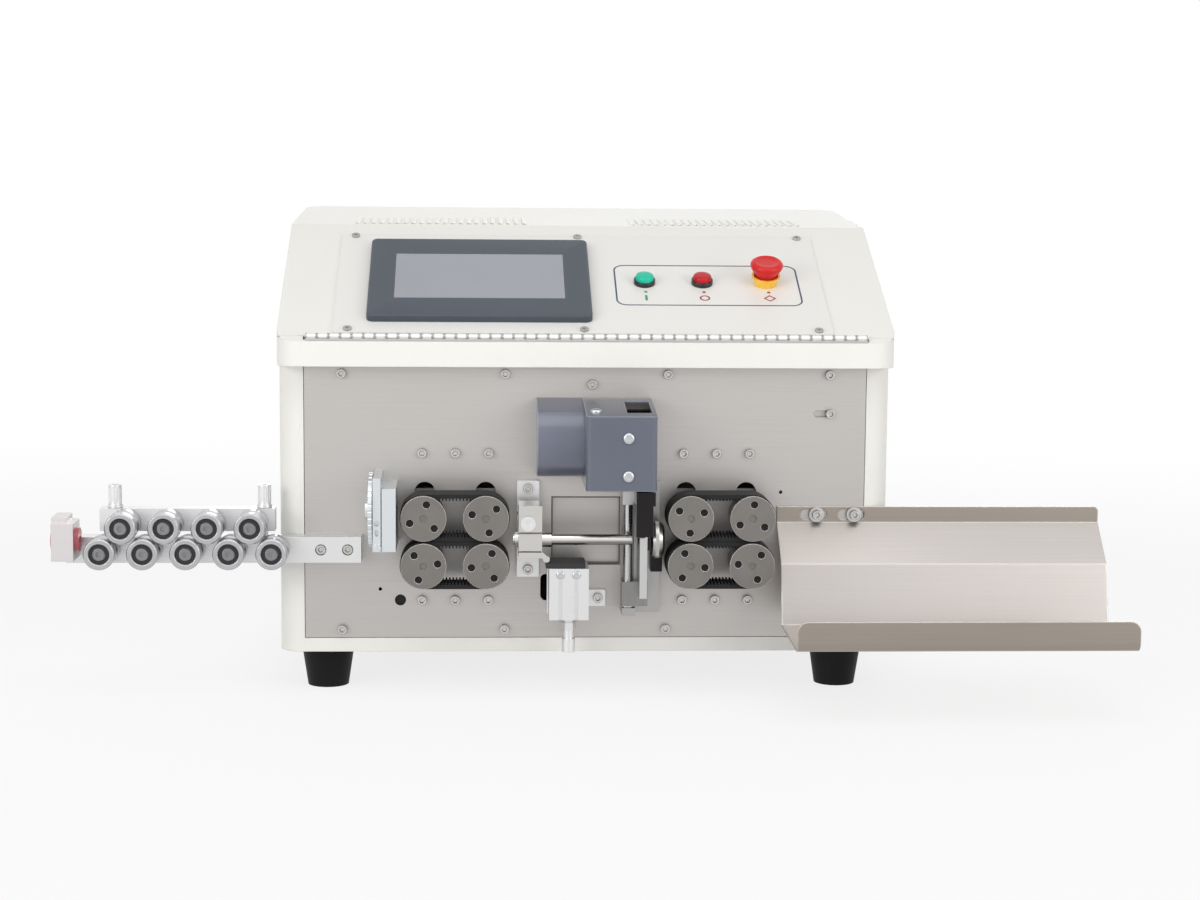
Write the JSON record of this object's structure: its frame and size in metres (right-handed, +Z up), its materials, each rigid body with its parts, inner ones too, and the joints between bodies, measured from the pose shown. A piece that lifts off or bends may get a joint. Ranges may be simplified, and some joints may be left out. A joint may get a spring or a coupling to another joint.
{
  "type": "wire cutting and stripping machine",
  "caption": "Bench wire cutting and stripping machine: white casing with a tip-up touch-screen console, roller straightener, belt feeds, swinging guide tube, V-blade cutter and output tray.",
  "frame": {"origin": "centre of the bounding box at floor level, under the feet", "axes": "+X along the wire from inlet to tray, +Y from the front plate into the casing, +Z up"},
  "size_m": [0.9326, 0.5444, 0.4289],
  "materials": {
    "casing_paint": "satin",
    "pan_paint": "satin",
    "panel_paint": "satin",
    "plate_metal": "brushed",
    "screw_metal": "satin",
    "foot_rubber": "matte",
    "inlet_plastic": "matte",
    "rocker_plastic": "gloss",
    "electronics": "satin",
    "motor_paint": "satin",
    "frame_aluminium": "satin",
    "belt_rubber": "matte",
    "carriage_aluminium": "satin",
    "pulley_metal": "satin",
    "cutter_steel": "satin",
    "cover_plastic": "satin",
    "screw_steel": "polished",
    "dark_steel": "oiled black",
    "bright_steel": "satin",
    "guide_alloy": "satin",
    "bracket_alloy": "satin",
    "tube_steel": "polished",
    "cylinder_alloy": "satin",
    "rod_black": "matte",
    "disc_steel": "satin",
    "bar_alloy": "satin",
    "nut_chrome": "satin",
    "roller_steel": "polished",
    "bush_red": "gloss",
    "tray_steel": "satin",
    "hinge_metal": "satin",
    "screen_plastic": "satin",
    "collar_plastic": "gloss",
    "button_green": "gloss",
    "button_red": "gloss",
    "mushroom_red": "gloss"
  },
  "bodies": {
    "casing": {"base_pan": "pan_paint", "body_shell": "casing_paint", "front_plate": "plate_metal", "front_screws": "screw_metal", "rubber_feet": "foot_rubber", "power_inlet": "inlet_plastic", "control_electronics": "electronics", "drive_motors": "motor_paint", "feed_frames": "frame_aluminium", "lower_belts": "belt_rubber", "cutter_frame": "cutter_steel", "cutter_side_cover": "cover_plastic", "cutter_front_cover": "cover_plastic", "outlet_guide": "guide_alloy", "tube_bracket": "bracket_alloy", "lift_cylinder": "cylinder_alloy", "selector_bracket": "bracket_alloy", "straightener_bar": "bar_alloy", "inlet_block": "bracket_alloy", "inlet_bush": "bush_red", "hinge_lower_leaf": "hinge_metal"},
    "hood": {"hood_shell": "casing_paint", "control_panel": "panel_paint", "touch_screen": "screen_plastic", "button_collars": "collar_plastic"},
    "start": {"start_button": "button_green"},
    "stop": {"stop_button": "button_red"},
    "estop": {"estop_head": "mushroom_red"},
    "power_rocker": {"power_switch": "rocker_plastic"},
    "left_press": {"left_carriage": "carriage_aluminium", "left_upper_belt": "belt_rubber"},
    "right_press": {"right_carriage": "carriage_aluminium", "right_upper_belt": "belt_rubber"},
    "upper_cutter": {"upper_blade": "dark_steel"},
    "lower_cutter": {"lower_blade": "bright_steel"},
    "cutter_screw": {"lead_screw": "screw_steel"},
    "swing_tube": {"guide_tube": "tube_steel"},
    "lift_rod": {"cylinder_rod": "rod_black"},
    "selector": {"selector_disc": "disc_steel"},
    "top_bar": {"straightener_top_bar": "bar_alloy"},
    "nut_left": {"thumb_nut_left": "nut_chrome"},
    "nut_right": {"thumb_nut_right": "nut_chrome"},
    "tray": {"output_tray": "tray_steel"},
    "pulley_l1": {"pulley_l1": "pulley_metal"},
    "pulley_l2": {"pulley_l2": "pulley_metal"},
    "pulley_l3": {"pulley_l3": "pulley_metal"},
    "pulley_l4": {"pulley_l4": "pulley_metal"},
    "pulley_r1": {"pulley_r1": "pulley_metal"},
    "pulley_r2": {"pulley_r2": "pulley_metal"},
    "pulley_r3": {"pulley_r3": "pulley_metal"},
    "pulley_r4": {"pulley_r4": "pulley_metal"},
    "roller_d1": {"roller_d1": "roller_steel"},
    "roller_d2": {"roller_d2": "roller_steel"},
    "roller_d3": {"roller_d3": "roller_steel"},
    "roller_d4": {"roller_d4": "roller_steel"},
    "roller_d5": {"roller_d5": "roller_steel"},
    "roller_u1": {"roller_u1": "roller_steel"},
    "roller_u2": {"roller_u2": "roller_steel"},
    "roller_u3": {"roller_u3": "roller_steel"},
    "roller_u4": {"roller_u4": "roller_steel"}
  },
  "joints": [
    {"name": "hood_tilt", "type": "hinge", "parent": "casing", "child": "hood", "pos_m": [0.00105, -0.1409, 0.32197], "axis": [1, 0, 0], "range_deg": [0, 90]},
    {"name": "start_press", "type": "slide", "parent": "hood", "child": "start", "axis": [0, 0.4384, -0.8988], "range_m": [0, 0.0025], "stiffness_N_per_m": 300},
    {"name": "stop_press", "type": "slide", "parent": "hood", "child": "stop", "axis": [0, 0.4384, -0.8988], "range_m": [0, 0.0025], "stiffness_N_per_m": 300},
    {"name": "estop_press", "type": "slide", "parent": "hood", "child": "estop", "axis": [0, 0.4384, -0.8988], "range_m": [0, 0.004], "stiffness_N_per_m": 400},
    {"name": "power_rock", "type": "hinge", "parent": "casing", "child": "power_rocker", "pos_m": [-0.15695, 0.26625, 0.105], "axis": [1, 0, 0], "range_deg": [0, 12]},
    {"name": "left_press_lift", "type": "slide", "parent": "casing", "child": "left_press", "axis": [0, 0, 1], "range_m": [0, 0.012]},
    {"name": "pulley_l1_spin", "type": "hinge", "parent": "left_press", "child": "pulley_l1", "pos_m": [-0.14315, -0.15875, 0.166], "axis": [0, 1, 0], "continuous": true},
    {"name": "pulley_l2_spin", "type": "hinge", "parent": "left_press", "child": "pulley_l2", "pos_m": [-0.08875, -0.15875, 0.166], "axis": [0, 1, 0], "continuous": true},
    {"name": "pulley_l3_spin", "type": "hinge", "parent": "casing", "child": "pulley_l3", "pos_m": [-0.14315, -0.15875, 0.124], "axis": [0, 1, 0], "continuous": true},
    {"name": "pulley_l4_spin", "type": "hinge", "parent": "casing", "child": "pulley_l4", "pos_m": [-0.08875, -0.15875, 0.124], "axis": [0, 1, 0], "continuous": true},
    {"name": "right_press_lift", "type": "slide", "parent": "casing", "child": "right_press", "axis": [0, 0, 1], "range_m": [0, 0.012]},
    {"name": "pulley_r1_spin", "type": "hinge", "parent": "right_press", "child": "pulley_r1", "pos_m": [0.09085, -0.15875, 0.166], "axis": [0, 1, 0], "continuous": true},
    {"name": "pulley_r2_spin", "type": "hinge", "parent": "right_press", "child": "pulley_r2", "pos_m": [0.14525, -0.15875, 0.166], "axis": [0, 1, 0], "continuous": true},
    {"name": "pulley_r3_spin", "type": "hinge", "parent": "casing", "child": "pulley_r3", "pos_m": [0.09085, -0.15875, 0.124], "axis": [0, 1, 0], "continuous": true},
    {"name": "pulley_r4_spin", "type": "hinge", "parent": "casing", "child": "pulley_r4", "pos_m": [0.14525, -0.15875, 0.124], "axis": [0, 1, 0], "continuous": true},
    {"name": "upper_cut", "type": "slide", "parent": "casing", "child": "upper_cutter", "axis": [0, 0, -1], "range_m": [0, 0.012]},
    {"name": "lower_cut", "type": "slide", "parent": "casing", "child": "lower_cutter", "axis": [0, 0, 1], "range_m": [0, 0.012]},
    {"name": "cutter_screw_turn", "type": "hinge", "parent": "casing", "child": "cutter_screw", "pos_m": [0.03755, -0.14475, 0.145], "axis": [0, 0, 1], "range_deg": [0, 1080]},
    {"name": "tube_swing", "type": "hinge", "parent": "casing", "child": "swing_tube", "pos_m": [-0.05195, -0.15875, 0.162], "axis": [0, -1, 0], "range_deg": [0, 12]},
    {"name": "rod_lift", "type": "slide", "parent": "casing", "child": "lift_rod", "axis": [0, 0, 1], "range_m": [0, 0.00346]},
    {"name": "selector_turn", "type": "hinge", "parent": "casing", "child": "selector", "pos_m": [-0.18895, -0.15875, 0.1715], "axis": [1, 0, 0], "continuous": true},
    {"name": "tray_slide", "type": "slide", "parent": "casing", "child": "tray", "axis": [1, 0, 0], "range_m": [-0.005, 0.01]},
    {"name": "top_bar_slide", "type": "slide", "parent": "casing", "child": "top_bar", "axis": [0, 0, 1], "range_m": [-0.0012, 0.004]},
    {"name": "nut_left_turn", "type": "hinge", "parent": "top_bar", "child": "nut_left", "pos_m": [-0.41542, -0.13175, 0.18], "axis": [0, 0, 1], "range_deg": [-432.1, 1440.1]},
    {"name": "nut_right_turn", "type": "hinge", "parent": "top_bar", "child": "nut_right", "pos_m": [-0.28448, -0.13175, 0.18], "axis": [0, 0, 1], "range_deg": [-432.1, 1440.1]},
    {"name": "roller_d1_spin", "type": "hinge", "parent": "casing", "child": "roller_d1", "pos_m": [-0.42435, -0.15875, 0.13375], "axis": [0, 1, 0], "continuous": true},
    {"name": "roller_d2_spin", "type": "hinge", "parent": "casing", "child": "roller_d2", "pos_m": [-0.38715, -0.15875, 0.13375], "axis": [0, 1, 0], "continuous": true},
    {"name": "roller_d3_spin", "type": "hinge", "parent": "casing", "child": "roller_d3", "pos_m": [-0.34995, -0.15875, 0.13375], "axis": [0, 1, 0], "continuous": true},
    {"name": "roller_d4_spin", "type": "hinge", "parent": "casing", "child": "roller_d4", "pos_m": [-0.31275, -0.15875, 0.13375], "axis": [0, 1, 0], "continuous": true},
    {"name": "roller_d5_spin", "type": "hinge", "parent": "casing", "child": "roller_d5", "pos_m": [-0.27555, -0.15875, 0.13375], "axis": [0, 1, 0], "continuous": true},
    {"name": "roller_u1_spin", "type": "hinge", "parent": "top_bar", "child": "roller_u1", "pos_m": [-0.40575, -0.15875, 0.15626], "axis": [0, 1, 0], "continuous": true},
    {"name": "roller_u2_spin", "type": "hinge", "parent": "top_bar", "child": "roller_u2", "pos_m": [-0.36855, -0.15875, 0.15626], "axis": [0, 1, 0], "continuous": true},
    {"name": "roller_u3_spin", "type": "hinge", "parent": "top_bar", "child": "roller_u3", "pos_m": [-0.33135, -0.15875, 0.15626], "axis": [0, 1, 0], "continuous": true},
    {"name": "roller_u4_spin", "type": "hinge", "parent": "top_bar", "child": "roller_u4", "pos_m": [-0.29415, -0.15875, 0.15626], "axis": [0, 1, 0], "continuous": true}
  ],
  "couplings": [
    {"joint": "pulley_l4_spin", "follows": "pulley_l3_spin", "ratio": 1},
    {"joint": "pulley_l1_spin", "follows": "pulley_l3_spin", "ratio": -1},
    {"joint": "pulley_l2_spin", "follows": "pulley_l3_spin", "ratio": -1},
    {"joint": "pulley_r4_spin", "follows": "pulley_r3_spin", "ratio": 1},
    {"joint": "pulley_r1_spin", "follows": "pulley_r3_spin", "ratio": -1},
    {"joint": "pulley_r2_spin", "follows": "pulley_r3_spin", "ratio": -1},
    {"joint": "lower_cut", "follows": "upper_cut", "ratio": 1},
    {"joint": "cutter_screw_turn", "follows": "upper_cut", "rad_per_m": 1570.8},
    {"joint": "rod_lift", "follows": "tube_swing", "m_per_rad": 0.0165},
    {"joint": "nut_left_turn", "follows": "top_bar_slide", "rad_per_m": 6283.2},
    {"joint": "nut_right_turn", "follows": "top_bar_slide", "rad_per_m": 6283.2}
  ]
}
